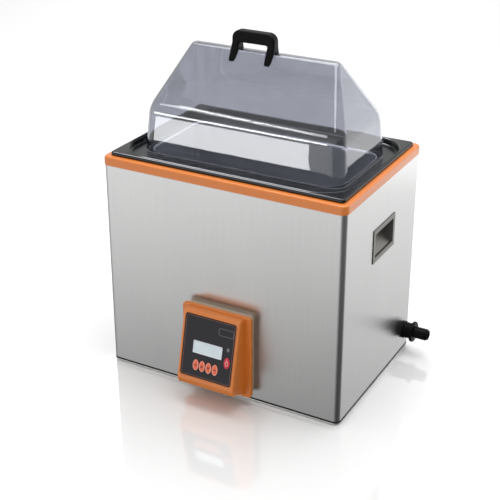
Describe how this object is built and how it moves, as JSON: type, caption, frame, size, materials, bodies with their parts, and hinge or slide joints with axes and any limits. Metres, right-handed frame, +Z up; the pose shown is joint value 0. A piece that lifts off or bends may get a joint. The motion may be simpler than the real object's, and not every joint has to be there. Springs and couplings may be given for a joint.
{
  "type": "laboratory water bath",
  "caption": "Bench-top laboratory water bath in a brushed steel box with an orange trim ring, gabled clear lid, wedge-shaped control panel, side grips and side hose drain.",
  "frame": {"origin": "centre of the bounding box's base, on the bench under the feet, lid closed", "axes": "+Z up, -Y towards the user's side with the control panel, +X towards the side with the drain"},
  "size_m": [0.6058, 0.4654, 0.73],
  "materials": {
    "brushed_stainless": "vertical brushed grain, satin",
    "dark_stainless": "deep-drawn, polished, reflects dark",
    "grey_plastic": "fine matte",
    "orange_moulding": "semi-gloss moulded",
    "clear_polycarbonate": "clear thermoformed polycarbonate, faint blue-grey",
    "black_plastic": "matte moulded",
    "black_rubber": "matte",
    "overlay_film": "charcoal polyester film with printed border",
    "key_red": "translucent orange-red key cap with a pale rim",
    "display_window": "pale backlit display window",
    "indicator_grey": "unlit lens",
    "zinc_steel": "zinc plated",
    "plain_brass": "as turned",
    "circuit_board": "green solder mask",
    "silicone_hose": "translucent white silicone"
  },
  "bodies": {
    "bath": {"base_tray": "zinc_steel", "bath_tank": "dark_stainless", "blank_plate": "brushed_stainless", "bonding_stud": "plain_brass", "display_module": "black_plastic", "display_window": "display_window", "drain_body": "black_plastic", "drain_gasket": "black_rubber", "drain_hose": "silicone_hose", "drain_locknut": "black_plastic", "drain_nozzle": "black_plastic", "foot_front_left": "black_rubber", "foot_front_right": "black_rubber", "foot_rear_left": "black_rubber", "foot_rear_right": "black_rubber", "grip_pocket_left": "brushed_stainless", "grip_pocket_right": "brushed_stainless", "heating_plate": "zinc_steel", "housing_wrap": "brushed_stainless", "indicator_lens": "indicator_grey", "key_board": "circuit_board", "limit_thermostat": "plain_brass", "mains_inlet": "black_plastic", "outlet_nut": "plain_brass", "panel_housing": "orange_moulding", "panel_overlay": "overlay_film", "panel_spacer": "grey_plastic", "power_board": "circuit_board", "power_relay": "black_plastic", "probe_nut": "plain_brass", "tank_outlet": "plain_brass", "temperature_probe": "brushed_stainless", "terminal_block": "black_plastic", "transformer": "zinc_steel", "trim_ring": "orange_moulding"},
    "lid": {"lid_dome": "clear_polycarbonate", "lid_handle": "black_plastic", "handle_screw_left": "zinc_steel", "handle_screw_right": "zinc_steel"},
    "shelf": {"well_shelf": "brushed_stainless"},
    "key_1": {"key_1": "key_red"},
    "key_2": {"key_2": "key_red"},
    "key_3": {"key_3": "key_red"},
    "key_4": {"key_4": "key_red"},
    "power_key": {"power_key": "key_red"},
    "fuse_drawer": {"fuse_drawer": "black_plastic"},
    "drain_collar": {"drain_collar": "black_plastic"}
  },
  "joints": [
    {"name": "lid_lift", "type": "slide", "parent": "bath", "child": "lid", "axis": [0, 0, 1], "range_m": [0, 0.25]},
    {"name": "shelf_lift", "type": "slide", "parent": "bath", "child": "shelf", "axis": [0, 0, 1], "range_m": [0, 0.22]},
    {"name": "fuse_drawer_slide", "type": "slide", "parent": "bath", "child": "fuse_drawer", "axis": [0, 1, 0], "range_m": [0, 0.012]},
    {"name": "drain_collar_turn", "type": "hinge", "parent": "bath", "child": "drain_collar", "pos_m": [0.2679, 0.1862, 0.053], "axis": [1, 0, 0], "range_deg": [0, 180]},
    {"name": "key_1_press", "type": "slide", "parent": "bath", "child": "key_1", "axis": [0, 0.9736, -0.2283], "range_m": [0, 0.0008], "stiffness_N_per_m": 900},
    {"name": "key_2_press", "type": "slide", "parent": "bath", "child": "key_2", "axis": [0, 0.9736, -0.2283], "range_m": [0, 0.0008], "stiffness_N_per_m": 900},
    {"name": "key_3_press", "type": "slide", "parent": "bath", "child": "key_3", "axis": [0, 0.9736, -0.2283], "range_m": [0, 0.0008], "stiffness_N_per_m": 900},
    {"name": "key_4_press", "type": "slide", "parent": "bath", "child": "key_4", "axis": [0, 0.9736, -0.2283], "range_m": [0, 0.0008], "stiffness_N_per_m": 900},
    {"name": "power_key_press", "type": "slide", "parent": "bath", "child": "power_key", "axis": [0, 0.9736, -0.2283], "range_m": [0, 0.0008], "stiffness_N_per_m": 900}
  ]
}
